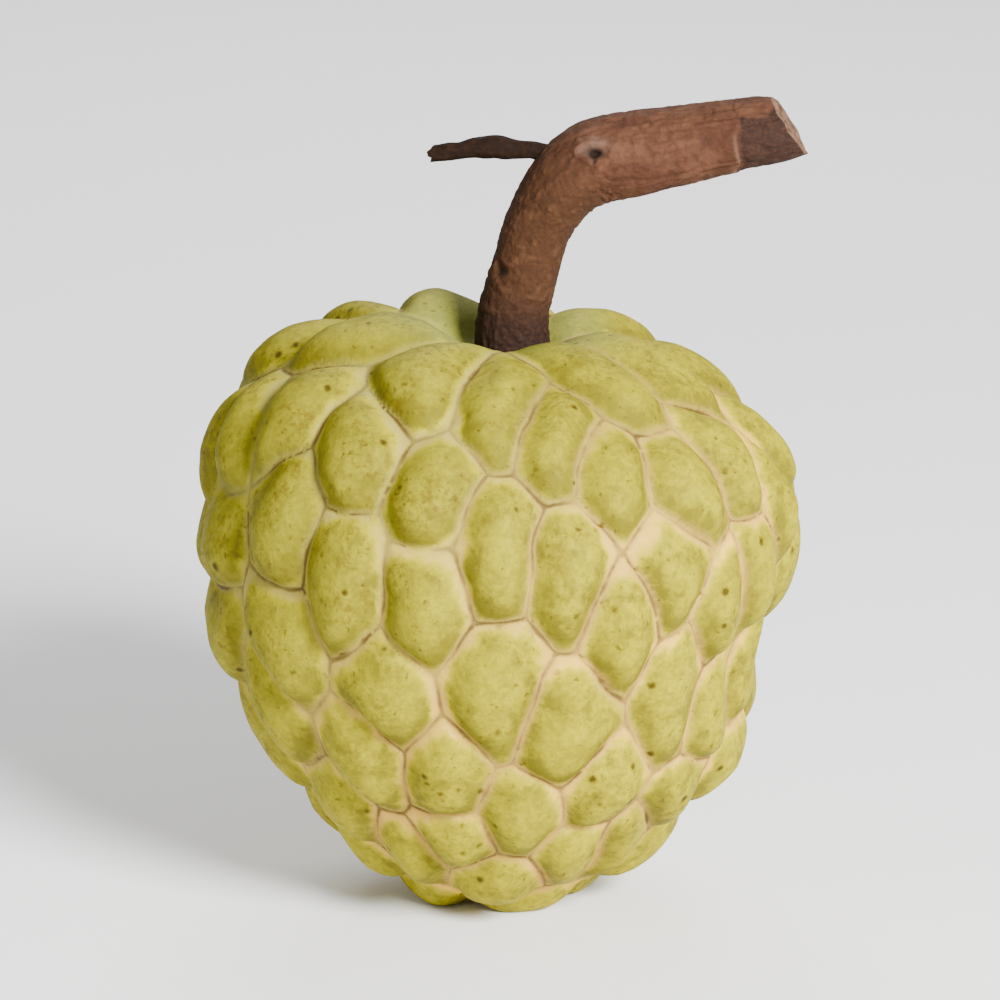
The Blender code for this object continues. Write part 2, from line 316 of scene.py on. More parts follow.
class Carpels:
    """Centres of the carpels: those in view as they are seen, the rest where the skin is barest."""

    def __init__(self, body):
        self.body = body
        seen = [(np.radians(file), arc) for file, arcs in FILES_IN_VIEW for arc in arcs]
        bearing, arc = np.meshgrid(
            np.radians(np.arange(-180, 180, GRID_DEGREES)),
            np.linspace(FIRST_RING, body.length, GRID_ROWS),
        )
        bearing, arc = bearing.ravel(), arc.ravel()
        samples = body.at(bearing, arc)
        self.set_centres(*np.array(seen).T)
        nearness = np.sqrt(self.measure(samples)[0].min(axis=1))
        while nearness.max() > BAREST:
            barest = nearness.argmax()
            seen.append((bearing[barest], arc[barest]))
            self.set_centres(*np.array(seen[-1:]).T)
            nearness = np.minimum(nearness, np.sqrt(self.measure(samples)[0][:, 0]))
        self.set_centres(*np.array(seen).T)

    def set_centres(self, bearing, arc):
        """A carpel is longer than wide at the shoulder and round at the blossom end."""
        early = smoothstep((ROUND_BY - arc / self.body.length) / ROUND_SPAN)
        ratio = 1.0 + (CARPEL_LENGTH_RATIO - 1.0) * early
        self.centre = self.body.at(bearing, arc)
        self.axes = np.stack(self.body.directions(bearing, arc), axis=1)
        self.length = CARPEL_HALF_WIDTH * ratio

    def measure(self, points):
        """Squared distance to every carpel in its own widths and lengths, and the parts of it."""
        parts = [
            points @ self.axes[:, i].T - (self.centre * self.axes[:, i]).sum(axis=1) for i in range(3)
        ]
        tip = smoothstep(0.5 + 0.5 * parts[1] / self.length)
        width = CARPEL_HALF_WIDTH * (1.0 + (CARPEL_TIP_TAPER - 1.0) * (tip - 0.5))
        sizes = [width, self.length + 0.0 * width, CARPEL_DEPTH_SCALE + 0.0 * width]
        distance = sum((part / size) ** 2 for part, size in zip(parts, sizes))
        return distance, [part / size**2 for part, size in zip(parts, sizes)]

    def survey(self, points, down):
        """The owner of each point, how far its nearest groove is, how far with corners rounded,
        the way to that groove, and how far the way points down the fruit."""
        distance, slopes = self.measure(points)
        order = np.argpartition(distance, NEIGHBOURS, axis=1)[:, : NEIGHBOURS + 1]
        rank = np.take_along_axis(distance, order, axis=1).argsort(axis=1)
        order = np.take_along_axis(order, rank, axis=1)
        near = np.take_along_axis(distance, order, axis=1)
        slope = sum(
            np.take_along_axis(part, order, axis=1)[..., None] * self.axes[order, i]
            for i, part in enumerate(slopes)
        )
        difference = slope[:, 1:] - slope[:, :1]
        steepness = 2.0 * np.linalg.norm(difference, axis=-1)
        reach = (near[:, 1:] - near[:, :1]) / steepness
        way = -2.0 * difference / steepness[..., None]
        edge = reach.min(axis=1)
        share = np.exp(-(reach - edge[:, None]) / CORNER_ROUNDING)
        total = share.sum(axis=1)
        rounded = np.maximum(edge - CORNER_ROUNDING * np.log(total), 0.0)
        downward = ((way * share[..., None]).sum(axis=1) / total[:, None] * down).sum(axis=1)
        nearest = np.take_along_axis(way, reach.argmin(axis=1)[:, None, None], axis=1)[:, 0]
        return order[:, 0], edge, rounded, nearest, downward


def mesh_object(name, points, faces, attributes, material):
    """A smooth mesh object at the origin with one float attribute for each named array."""
    mesh = bpy.data.meshes.new(name)
    mesh.from_pydata(points.tolist(), [], faces)
    for title, values in attributes.items():
        layer = mesh.attributes.new(title, "FLOAT", "POINT")
        layer.data.foreach_set("value", np.ascontiguousarray(values, np.float32))
    mesh.materials.append(material)
    mesh.shade_smooth()
    obj = bpy.data.objects.new(name, mesh)
    bpy.context.scene.collection.objects.link(obj)
    return obj


def closed_rings(rings, first, last, fold):
    """A closed surface through rings of points, fanned to a first and a last point. Each square is
    split along the diagonal where fold, a value for each point, is greater."""
    count, sides = rings.shape[:2]
    points = np.vstack([rings.reshape(-1, 3), first, last])
    index = np.arange(count * sides).reshape(count, sides)
    after = np.roll(index, -1, axis=1)
    a, b, c, d = (part.ravel() for part in (index[:-1], index[1:], after[1:], after[:-1]))
    straight = (fold[a] + fold[c] >= fold[b] + fold[d])[:, None]
    halves = (
        np.where(straight, np.stack([a, b, c], axis=1), np.stack([a, b, d], axis=1)),
        np.where(straight, np.stack([a, c, d], axis=1), np.stack([b, c, d], axis=1)),
        np.stack([np.full(sides, count * sides), index[0], after[0]], axis=1),
        np.stack([np.full(sides, count * sides + 1), after[-1], index[-1]], axis=1),
    )
    return points, np.concatenate(halves).tolist()


def with_ends(values, rings):
    """A per-point array of a ring surface, with the mean of its first and last rings at the ends."""
    table = values.reshape(rings, -1)
    return np.concatenate([table.ravel(), [table[0].mean(), table[-1].mean()]])


def wander(points):
    """The points moved a little at random, so that grooves found from them wander."""
    shifts = [lumps(points, WANDER_SIZE, seed) for seed in (7, 8, 9)]
    return points + GROOVE_WANDER * np.stack(shifts, axis=-1)


def skin_surface(look):
    """Skin over bearing and distance down: the body, plus a swell from groove to crown that is
    steep at a carpel's lower lip and gentle at its upper end, less a fine crease in the groove.
    Points of the grid near a groove are first slid onto it, and the foot is cut flat."""
    body = Body()
    carpels = Carpels(body)
    bearing, arc = np.meshgrid(
        np.linspace(-np.pi, np.pi, SKIN_COLUMNS, endpoint=False),
        np.linspace(END_GAP, body.length - END_GAP, SKIN_ROWS),
    )
    bearing, arc = bearing.ravel(), arc.ravel()
    across, down, _ = body.directions(bearing, arc)
    _, edge, _, way, _ = carpels.survey(wander(body.at(bearing, arc)), down)
    radius = np.maximum(np.interp(arc, body.arc, body.curve[:, 0]), 0.002)
    sideways = (way * across).sum(axis=1)
    downways = (way * down).sum(axis=1)
    step = np.maximum(
        np.abs(sideways) * 2.0 * np.pi * radius / SKIN_COLUMNS,
        np.abs(downways) * body.length / SKIN_ROWS,
    )
    rank = np.rint(edge / step)
    slide = (edge - rank * step) * np.choose(np.minimum(rank, 3).astype(int), (1.0, 0.85, 0.4, 0.0))
    bearing = bearing + slide * sideways / radius
    arc = np.clip(arc + slide * downways, 0.5 * END_GAP, body.length - 0.5 * END_GAP)

    base = body.at(bearing, arc)
    _, down, out = body.directions(bearing, arc)
    owner, edge, rounded, _, downward = carpels.survey(wander(base), down)
    share = arc / body.length
    full = smoothstep((share - RELIEF_FROM) / RELIEF_SPAN)
    full *= smoothstep((RELIEF_UNTIL - share) / RELIEF_SPAN)
    strength = LEAST_RELIEF + (1.0 - LEAST_RELIEF) * full
    strength *= END_CALM + (1.0 - END_CALM) * smoothstep((1.0 - share) / END_SPAN)
    upper = smoothstep(0.5 - 0.6 * downward)
    width = LIP_WIDTH + (SHELF_WIDTH - LIP_WIDTH) * upper
    swell = 1.0 - np.exp(-((rounded / width) ** 1.25))
    dome = 1.0 - np.exp(-((rounded / DOME_WIDTH) ** 2))
    swell += (dome - swell) * DOME_SHARE
    crease = np.exp(-((edge / CREASE_WIDTH) ** 2))
    tone = np.random.default_rng(11).uniform(-1.0, 1.0, (2, len(carpels.length)))[:, owner]
    height = look.crown_height * strength * (swell - CUT_SHARE)
    height += swell * strength * MM * (
        0.18 * tone[0] + 0.20 * lumps(base, 4.6 * MM, 3) + 0.09 * lumps(base, 1.9 * MM, 4)
    )
    height -= look.crease_depth * strength * crease
    skin = base + out * height[:, None]
    skin[:, 2] = np.maximum(skin[:, 2], 0.0)

    margin = LIP_MARGIN + (SHELF_MARGIN - LIP_MARGIN) * upper
    margin += MM * (0.45 * lumps(base, 2.0 * MM, 5) + 0.90 * lumps(base, 7.0 * MM, 6))
    crown = np.clip((rounded - margin) / (MM * (1.2 + 1.8 * upper)) + 0.4, -0.4, 2.0)
    # lip: painted shade on the band just inside a carpel's lower lip, where the lip turns down from the
    # light
    lip = smoothstep(0.5 + downward) * np.exp(-(((rounded - 0.8 * MM) / (1.3 * MM)) ** 2))
    inside = smoothstep(edge / SEAM_WIDTH)
    above = base[:, 2] - UPPER_LEFT_HEIGHT
    attributes = {
        "crown": SEAM_CROWN + inside * (crown - SEAM_CROWN),
        "groove": edge / MM,
        "lip": inside * lip,
        # under: how far a groove lies under a lip, the share of painted shadow in its line
        "under": smoothstep(1.6 * np.abs(downward) - 0.2),
        "tone": 0.5 + 0.5 * inside * tone[1],
        "hollow": smoothstep((HOLLOW_WITHIN - arc) / HOLLOW_SPAN),
        "low": smoothstep((LOW_UNDER - base[:, 2]) / LOW_SPAN),
        # upper_left: rises towards the upper left across the view, where the skin turns a deeper green
        # and its lines and valleys grow darker
        "upper_left": smoothstep(UPPER_LEFT_SHARE - base[:, 0] / UPPER_LEFT_SPAN + above / UPPER_LEFT_SPAN),
    }
    rings = skin.reshape(SKIN_ROWS, SKIN_COLUMNS, 3)
    points, faces = closed_rings(rings, rings[0].mean(axis=0), rings[-1].mean(axis=0), -edge)
    return points, faces, {name: with_ends(values, SKIN_ROWS) for name, values in attributes.items()}


def tube_frame(path, radii, sides, rings):
    """Centre line, distances, radii and two cross vectors of a tube, and the angles round it."""
    line, arc = smooth_curve(np.hstack([path, np.asarray(radii)[:, None]]), rings)
    line, radius = line[:, :3], line[:, 3]
    along = np.gradient(line, axis=0)
    along /= np.linalg.norm(along, axis=1, keepdims=True)
    side = np.cross(along, (0.0, 1.0, 0.0))
    side /= np.linalg.norm(side, axis=1, keepdims=True)
    turn = np.linspace(0.0, 2.0 * np.pi, sides, endpoint=False)
    across = np.cross(along, side)
    spread = side[:, None] * np.cos(turn)[:, None] + across[:, None] * np.sin(turn)[:, None]
    unbent = np.stack(
        np.broadcast_arrays(
            radius[:, None] * np.cos(turn), radius[:, None] * np.sin(turn), arc[:, None] + 0 * turn
        ),
        axis=-1,
    )
    return line, arc, radius, along, side, spread, unbent


def dent(points, centre, depth, width, rim):
    """A ragged pit at a named place with a low swollen rim round it: the height, the pit, and a
    worn patch just above it."""
    away = points - np.asarray(centre)
    ragged = 1.0 + 0.45 * lumps(points, 0.9 * MM, 20)
    distance = np.linalg.norm(away * (0.8, 1.0, 1.3), axis=-1) * ragged
    pit = np.exp(-((distance / width) ** 2))
    swelling = np.exp(-(((distance - 1.9 * width) / (0.7 * width)) ** 2))
    above = np.linalg.norm(away - (0.0, 0.0, 1.1 * width), axis=-1) * ragged
    worn = np.exp(-((above / (1.5 * width)) ** 2))
    return rim * swelling - depth * pit, pit, worn


def stalk_surface(look):
    """Bark over distance along and angle round: warts on the lower stretch, long cracks on the
    branch, two scars, and a ring crack with bark lost past it. The cut end is a slanting disc."""
    line, arc, radius, along, side, spread, unbent = tube_frame(
        STALK_PATH, STALK_RADIUS, STALK_SIDES, STALK_RINGS
    )
    branch = smoothstep((arc - BRANCH_FROM) / BRANCH_SPAN)[:, None]
    foot = smoothstep((FOOT_TO - arc) / FOOT_SPAN)[:, None]
    stretched = unbent * (1.0, 1.0, 0.2)
    warts = smoothstep((lumps(unbent, 1.0 * MM, 21) - 0.25) / 0.4)
    cracks = (1.0 - np.abs(lumps(stretched, 1.3 * MM, 22))) ** 5
    fine_cracks = (1.0 - np.abs(lumps(stretched, 0.55 * MM, 23))) ** 4
    height = MM * (
        0.26 * lumps(unbent * (1.0, 1.0, 0.6), 4.2 * MM, 24)
        + (1.0 - branch) * (0.11 * warts + 0.07 * lumps(unbent, 0.45 * MM, 25))
        - (0.05 + 0.11 * branch) * cracks
        - (0.04 + 0.08 * branch) * fine_cracks
        + 0.08 * lumps(unbent, 0.7 * MM, 26)
    )
    height *= look.bark_relief
    surface = line[:, None] + spread * radius[:, None, None]
    bud, bud_pit, bud_worn = dent(surface, BUD_SCAR, 1.0 * MM, 0.90 * MM, 0.22 * MM)
    leaf, leaf_pit, _ = dent(surface, LEAF_SCAR, 0.35 * MM, 0.9 * MM, 0.12 * MM)
    wobble = 0.5 * MM * lumps(unbent, 2.0 * MM, 27)
    past = surface[..., 0] - CRACK_AT + wobble
    facing = smoothstep(0.55 - 0.5 * spread[..., 2] - 0.3 * spread[..., 1])
    crack = np.exp(-((past / (0.22 * MM)) ** 2))
    crack = crack * (line[:, :1] > CRACK_BEYOND) * (0.25 + 0.75 * facing)
    lost = facing + 0.5 * lumps(unbent, 2.6 * MM, 28) - 0.5
    peel = smoothstep(past / (0.5 * MM)) * smoothstep(lost / 0.15)
    height += bud + leaf - 0.25 * MM * crack - 0.28 * MM * peel
    broken = smoothstep(0.6 + 1.2 * lumps(unbent, 1.1 * MM, 31))
    ring_edge = np.exp(-(((past + 0.45 * MM) / (0.32 * MM)) ** 2)) * facing**3 * broken
    lean = np.linspace(-2.0, 1.0, STALK_RINGS).clip(0.0, 1.0) ** 3
    shift = CUT_SLANT * lean[:, None] * (spread * side[:, None]).sum(axis=2) * radius[:, None]
    ragged = 0.16 * MM * lean[:, None] ** 4 * lumps(unbent * (1.0, 1.0, 0.0), 1.3 * MM, 29)
    wall = surface + spread * height[..., None] + along[:, None] * (shift + ragged)[..., None]

    inward = (1.0 - np.linspace(0.02, 0.97, CUT_RINGS) ** 1.4)[:, None, None]
    middle = wall[-1].mean(axis=0)
    disc = middle + (wall[-1] - middle) * inward
    grain = lumps(disc, 0.7 * MM, 30) - 0.6 * (1.0 - inward[..., 0]) ** 0.5
    disc = disc + along[-1] * (0.22 * MM * grain[..., None] * (1.0 - inward**6))
    rings = np.concatenate([wall, disc])
    blank = np.zeros(disc.shape[:2])
    layers = {
        # groove: the cracks, which the bark material darkens as painted shade
        "groove": np.maximum.reduce([0.5 * cracks, 0.5 * fine_cracks, crack]),
        "scar": np.maximum(bud_pit, 0.8 * leaf_pit),
        "rim": np.maximum(bud_worn, 0.45 * ring_edge),
        "branch": branch,
        "peel": peel,
        "foot": foot,
        "wart": warts * (1.0 - branch),
    }
    attributes = {
        name: np.concatenate([np.broadcast_to(values, crack.shape), blank])
        for name, values in layers.items()
    }
    attributes["cut"] = np.concatenate([np.zeros_like(crack), np.ones_like(blank)])
    fold = attributes["groove"].ravel()
    points, faces = closed_rings(rings, line[0], rings[-1].mean(axis=0), fold)
    count = STALK_RINGS + CUT_RINGS
    return points, faces, {name: with_ends(values, count) for name, values in attributes.items()}


def twig_surface(look):
    """A thin dry twig with a swollen node, wrinkled lengthwise and snapped at its far end."""
    line, arc, radius, along, _, spread, unbent = tube_frame(
        TWIG_PATH, TWIG_RADIUS, TWIG_SIDES, TWIG_RINGS
    )
    wrinkles = (1.0 - np.abs(lumps(unbent * (1.0, 1.0, 0.15), 0.5 * MM, 41))) ** 4
    node = np.exp(-(((arc - NODE_AT) / NODE_SPAN) ** 2))[:, None]
    height = MM * (0.14 * node + 0.10 * lumps(unbent, 1.6 * MM, 42) - 0.10 * wrinkles)
    tip = np.linspace(-7.0, 1.0, TWIG_RINGS).clip(0.0, 1.0)[:, None]
    ragged = 0.5 * MM * tip**2 * lumps(unbent * (1.0, 1.0, 0.0), 0.5 * MM, 43)
    rings = line[:, None] + spread * (radius[:, None] + height)[..., None]
    rings = rings + along[:, None] * ragged[..., None]
    wrinkles = wrinkles.ravel()
    points, faces = closed_rings(rings, line[0], rings[-1].mean(axis=0), wrinkles)
    return points, faces, {"groove": with_ends(wrinkles, TWIG_RINGS)}


class Nodes:
    """Short words for building a material's node tree."""

    def __init__(self, name):
        self.material = bpy.data.materials.new(name)
        self.material.use_nodes = True
        self.tree = self.material.node_tree
        self.shader = self.tree.nodes["Principled BSDF"]
        self.object_space = self.new("ShaderNodeTexCoord").outputs["Object"]

    def new(self, kind, **settings):
        node = self.tree.nodes.new(kind)
        for key, value in settings.items():
            setattr(node, key, value)
        return node

    def join(self, source, socket):
        if isinstance(source, (int, float)):
            socket.default_value = source
        elif isinstance(source, (tuple, Color)):
            socket.default_value = (*source, 1.0)[:4]
        else:
            self.tree.links.new(source, socket)

    def attribute(self, name):
        return self.new("ShaderNodeAttribute", attribute_name=name).outputs["Fac"]

    def stretched(self, scale):
        mapping = self.new("ShaderNodeMapping")
        self.join(self.object_space, mapping.inputs["Vector"])
        mapping.inputs["Scale"].default_value = scale
        return mapping.outputs["Vector"]

    def noise(self, per_metre, detail=4.0, roughness=0.55, vector=None, distortion=0.0):
        node = self.new("ShaderNodeTexNoise")
        self.join(vector or self.object_space, node.inputs["Vector"])
        node.inputs["Scale"].default_value = per_metre
        node.inputs["Detail"].default_value = detail
        node.inputs["Roughness"].default_value = roughness
        node.inputs["Distortion"].default_value = distortion
        return node.outputs["Fac"]

    def spots(self, per_metre):
        node = self.new("ShaderNodeTexVoronoi")
        self.join(self.object_space, node.inputs["Vector"])
        node.inputs["Scale"].default_value = per_metre
        parts = self.new("ShaderNodeSeparateColor")
        self.join(node.outputs["Color"], parts.inputs["Color"])
        return node.outputs["Distance"], parts.outputs["Red"]

    def math(self, operation, a, b=0.0, clamp=False):
        node = self.new("ShaderNodeMath", operation=operation, use_clamp=clamp)
        self.join(a, node.inputs[0])
        self.join(b, node.inputs[1])
        return node.outputs[0]

    def ramp(self, value, low, high, to_low=0.0, to_high=1.0):
        """The value eased from to_low at low to to_high at high."""
        node = self.new("ShaderNodeMapRange", interpolation_type="SMOOTHSTEP")
        self.join(value, node.inputs["Value"])
        node.inputs["From Min"].default_value = low
        node.inputs["From Max"].default_value = high
        node.inputs["To Min"].default_value = to_low
        node.inputs["To Max"].default_value = to_high
        return node.outputs["Result"]

    def mix(self, share, a, b):
        node = self.new("ShaderNodeMix", data_type="RGBA")
        self.join(share, node.inputs["Factor"])
        self.join(a, node.inputs["A"])
        self.join(b, node.inputs["B"])
        return node.outputs["Result"]

    def bump(self, height, distance, strength=1.0, under=None):
        node = self.new("ShaderNodeBump")
        node.inputs["Distance"].default_value = distance
        node.inputs["Strength"].default_value = strength
        self.join(height, node.inputs["Height"])
        if under:
            self.join(under, node.inputs["Normal"])
        return node.outputs["Normal"]


def skin_material(look):
    """Yellow-green crowns mottled with olive, with painted shade in olive just inside each lower lip,
    cream between them that turns grey-green on the left shoulder, a tan valley with painted shade
    beside the groove, and a brown line in the groove, painted darker as the shadow under a lip."""
    n = Nodes("custard_apple_skin")
    crown, groove, lip = n.attribute("crown"), n.attribute("groove"), n.attribute("lip")
    tone, hollow, under = n.attribute("tone"), n.attribute("hollow"), n.attribute("under")
    low, upper_left = n.attribute("low"), n.attribute("upper_left")
    crown = n.math("MULTIPLY", crown, n.ramp(groove, 0.0, 0.45))

    broad = n.noise(150.0, detail=3.0)
    grain = n.noise(1500.0, detail=5.0, roughness=0.7)
    stain = n.noise(380.0, detail=6.0, roughness=0.65, distortion=0.4)
    patchy = n.noise(700.0, detail=3.0, roughness=0.6)
    olive = n.math("MULTIPLY", n.ramp(stain, 0.40, 0.66), n.ramp(broad, 0.35, 0.62, 0.20, 0.95))
    olive = n.math("ADD", olive, n.ramp(patchy, 0.42, 0.62, 0.0, 0.45))
    # The lip mask adds painted shade, in olive, just inside each lower lip.
    olive = n.math("ADD", olive, n.math("MULTIPLY", lip, 0.95))
    clusters = n.ramp(n.noise(1300.0, detail=3.0), 0.52, 0.62)
    clusters = n.math("MULTIPLY", clusters, n.ramp(broad, 0.42, 0.60))
    clusters = n.math("MULTIPLY", clusters, n.ramp(upper_left, 0.0, 1.0, 0.2, 0.6))
    pale = n.math("ADD", n.math("MULTIPLY", tone, 0.6), n.math("MULTIPLY", low, 0.4), clamp=True)
    green = n.mix(pale, look.crown_colour, look.pale_crown_colour)
    green = n.mix(n.math("MULTIPLY", upper_left, 0.50), green, look.moss_colour)
    green = n.mix(n.math("MULTIPLY", olive, 0.72, clamp=True), green, look.olive_and_lip_shade_colour)
    green = n.mix(clusters, green, look.scrape_colour)
    green = n.mix(n.ramp(grain, 0.35, 0.70, 0.0, 0.50), green, look.olive_and_lip_shade_colour)
    cream = n.mix(n.ramp(broad, 0.35, 0.65), look.cream_colour, look.blush_colour)
    cream = n.mix(n.math("MULTIPLY", upper_left, 0.95), cream, look.pale_moss_colour)

    worn = n.math("ADD", crown, n.math("MULTIPLY", n.math("SUBTRACT", stain, 0.5), 1.1))
    colour = n.mix(n.ramp(worn, 0.30, 0.80), cream, look.pale_crown_colour)
    colour = n.mix(n.ramp(worn, 0.45, 1.05), colour, green)
    colour = n.mix(n.math("MULTIPLY", hollow, 0.65), colour, look.bloom_colour)
    # The line is the real brown seam, painted darker as the lip's shadow where it lies under a lip, and
    # darker towards the upper left.
    deep = n.math("MAXIMUM", n.math("MULTIPLY", under, 0.8), n.math("MULTIPLY", upper_left, 0.7))
    shade = n.mix(deep, look.seam_colour, look.groove_shadow_colour)
    line = n.math("ADD", groove, n.math("MULTIPLY", n.math("SUBTRACT", stain, 0.5), 0.7))
    # Valley: the skin's tan beside the line, with painted shade in the valley of the groove.
    valley_tan_and_shade = n.ramp(line, 0.0, 1.2, 0.60, 0.0)
    tan = n.mix(n.math("MULTIPLY", upper_left, 0.75), look.valley_tan_and_shade_colour, look.bloom_colour)
    colour = n.mix(valley_tan_and_shade, colour, tan)
    line = n.math("MULTIPLY", n.ramp(line, 0.05, 0.48, 1.0, 0.0), n.ramp(broad, 0.38, 0.62, 0.40, 1.0))
    colour = n.mix(line, colour, shade)

    dot, pick = n.spots(420.0)
    dot = n.math("ADD", dot, n.math("MULTIPLY", n.math("SUBTRACT", stain, 0.5), 0.9))
    rare = n.ramp(n.math("ADD", pick, n.math("MULTIPLY", broad, 0.5)), 1.08, 1.12)
    dots = n.math("MULTIPLY", n.ramp(dot, 0.06, 0.30, 1.0, 0.0), rare)
    fleck = n.ramp(n.noise(900.0, detail=3.0, roughness=0.6), 0.62, 0.72)
    marks = n.math("MAXIMUM", n.math("MULTIPLY", dots, 0.90), n.math("MULTIPLY", fleck, 0.60))
    marks = n.math("MULTIPLY", marks, n.ramp(crown, 0.3, 0.9))
    colour = n.mix(marks, colour, look.speck_colour)
    scrape = n.noise(420.0, detail=4.0, roughness=0.6, vector=n.stretched((3.0, 3.0, 0.8)))
    scrape = n.math("MULTIPLY", n.ramp(scrape, 0.60, 0.70), n.ramp(broad, 0.50, 0.62))
    scrape = n.math("MULTIPLY", scrape, n.ramp(crown, 0.4, 1.2, 0.0, 0.5))
    colour = n.mix(scrape, colour, look.scrape_colour)
    n.join(colour, n.shader.inputs["Base Color"])

    n.join(n.ramp(grain, 0.3, 0.7, 0.50, 0.68), n.shader.inputs["Roughness"])
    n.shader.inputs["Specular IOR Level"].default_value = 0.05
    n.shader.inputs["Subsurface Weight"].default_value = 0.05
    n.shader.inputs["Subsurface Radius"].default_value = (1.0, 0.75, 0.35)
    n.shader.inputs["Subsurface Scale"].default_value = 0.0015
    pores = n.bump(grain, 0.00012, 0.7)
    n.join(n.bump(stain, 0.00035, 0.55, pores), n.shader.inputs["Normal"])
    return n.material


def bark_material(look):
    """Reddish-brown bark, darker in its cracks with painted shade, purple-brown at its foot and where
    bark is lost, and pale wood where it is cut."""
    n = Nodes("custard_apple_bark")
    groove, scar, peel = n.attribute("groove"), n.attribute("scar"), n.attribute("peel")
    foot, wart, cut = n.attribute("foot"), n.attribute("wart"), n.attribute("cut")
    rim, branch = n.attribute("rim"), n.attribute("branch")

    broad = n.noise(230.0, detail=4.0)
    grain = n.noise(2300.0, detail=5.0, roughness=0.7)
    mottle = n.noise(900.0, detail=4.0, roughness=0.65)
    colour = n.mix(n.ramp(broad, 0.35, 0.65), look.bark_colour, look.bark_light_colour)
    colour = n.mix(n.ramp(mottle, 0.45, 0.75, 0.0, 0.6), colour, look.dark_bark_and_crack_shade_colour)
    lower = n.mix(n.math("MULTIPLY", wart, 0.6), look.lower_bark_colour, look.wart_colour)
    lower = n.mix(n.ramp(mottle, 0.45, 0.75, 0.0, 0.6), lower, look.dark_bark_and_crack_shade_colour)
    colour = n.mix(branch, lower, colour)
    # Painted shade in the bark's cracks.
    colour = n.mix(n.math("MULTIPLY", groove, 0.6), colour, look.dark_bark_and_crack_shade_colour)
    bare = n.math("MAXIMUM", n.math("MULTIPLY", peel, 0.8), n.math("MULTIPLY", foot, 0.85))
    colour = n.mix(bare, colour, look.foot_colour)
    colour = n.mix(n.math("MULTIPLY", rim, 0.55), colour, look.rim_colour)
    colour = n.mix(n.ramp(grain, 0.4, 0.75, 0.0, 0.35), colour, look.bark_light_colour)
    colour = n.mix(n.ramp(scar, 0.2, 0.8), colour, look.scar_and_wrinkle_shade_colour)
    wood = n.mix(n.ramp(mottle, 0.4, 0.65), look.wood_colour, look.wood_dark_colour)
    colour = n.mix(n.ramp(cut, 0.3, 0.7), colour, wood)
    n.join(colour, n.shader.inputs["Base Color"])
    n.join(n.ramp(grain, 0.3, 0.7, 0.72, 0.92), n.shader.inputs["Roughness"])
    n.shader.inputs["Specular IOR Level"].default_value = 0.12
    fine = n.bump(grain, 0.00012, 0.8)
    n.join(n.bump(mottle, 0.0003, 0.6, fine), n.shader.inputs["Normal"])
    return n.material


def twig_material(look):
    """Dry brown-black bark with rusty patches, and painted shade in its wrinkles."""
    n = Nodes("custard_apple_twig")
    mottle = n.noise(1100.0, detail=5.0, roughness=0.65)
    colour = n.mix(n.ramp(mottle, 0.4, 0.7), look.twig_colour, look.twig_rust_colour)
    # Painted shade in the twig's wrinkles, in the dark colour of the scars.
    colour = n.mix(n.math("MULTIPLY", n.attribute("groove"), 0.7), colour, look.scar_and_wrinkle_shade_colour)
    n.join(colour, n.shader.inputs["Base Color"])
    n.join(n.ramp(mottle, 0.3, 0.7, 0.75, 0.95), n.shader.inputs["Roughness"])
    n.shader.inputs["Specular IOR Level"].default_value = 0.08
    n.join(n.bump(mottle, 0.0002, 0.7), n.shader.inputs["Normal"])
    return n.material


def floor_material(look):
    """Matt pale board with the faintest grain."""
    n = Nodes("pale_floor")
    tint = n.ramp(n.noise(40.0), 0.3, 0.7, 0.97, 1.0)
    n.join(n.mix(tint, (0.80, 0.80, 0.80), look.floor_colour), n.shader.inputs["Base Color"])
    n.shader.inputs["Roughness"].default_value = 0.9
    return n.material


def colour_property(name, words, default):
    """A colour that the user can change."""
    return FloatVectorProperty(
        name=name, description=words, default=default, subtype="COLOR", size=3, min=0.0, max=1.0
    )


class FruitLook(bpy.types.PropertyGroup):
    crown_height: FloatProperty(
        name="Crown Height",
        description="Height of a carpel's crown over its groove",
        default=0.0029,
        unit="LENGTH",
    )
    crease_depth: FloatProperty(
        name="Crease Depth",
        description="Depth of the fine line in the groove",
        default=0.00028,
        unit="LENGTH",
    )
    crown_colour: colour_property("Crown", "Yellow-green of the crowns", (0.345, 0.295, 0.001))
    pale_crown_colour: colour_property("Pale Crown", "Palest of the crowns", (0.385, 0.330, 0.005))
    # Olive: real stains and mottling on the crowns, and the painted shade inside each lower lip.
    olive_and_lip_shade_colour: colour_property("Olive", "Olive stain on the crowns", (0.150, 0.130, 0.006))
    moss_colour: colour_property("Moss", "Deeper green of the left shoulder", (0.190, 0.182, 0.023))
    pale_moss_colour: colour_property("Pale Moss", "Skin between the crowns there", (0.31, 0.28, 0.060))
    cream_colour: colour_property("Cream", "Skin between the crowns", (0.74, 0.455, 0.045))
    blush_colour: colour_property("Blush", "Pinker skin between the crowns", (0.60, 0.345, 0.055))
    # Groove shadow: the line under a lip, painted dark as the lip's shadow.
    groove_shadow_colour: colour_property("Groove", "Line in the groove under a lip", (0.070, 0.046, 0.009))
    # Valley: tan of the skin beside the line, and painted shade in the groove's valley.
    valley_tan_and_shade_colour: colour_property("Valley", "Tan skin beside the line", (0.46, 0.28, 0.070))
    seam_colour: colour_property("Seam", "Line between two carpels side by side", (0.19, 0.118, 0.030))
    speck_colour: colour_property("Specks", "Brown specks on the crowns", (0.040, 0.022, 0.003))
    scrape_colour: colour_property("Scrapes", "Brown of the fine scrapes", (0.11, 0.062, 0.006))
    bloom_colour: colour_property("Bloom", "Blue-green bloom at the top and left", (0.19, 0.215, 0.045))


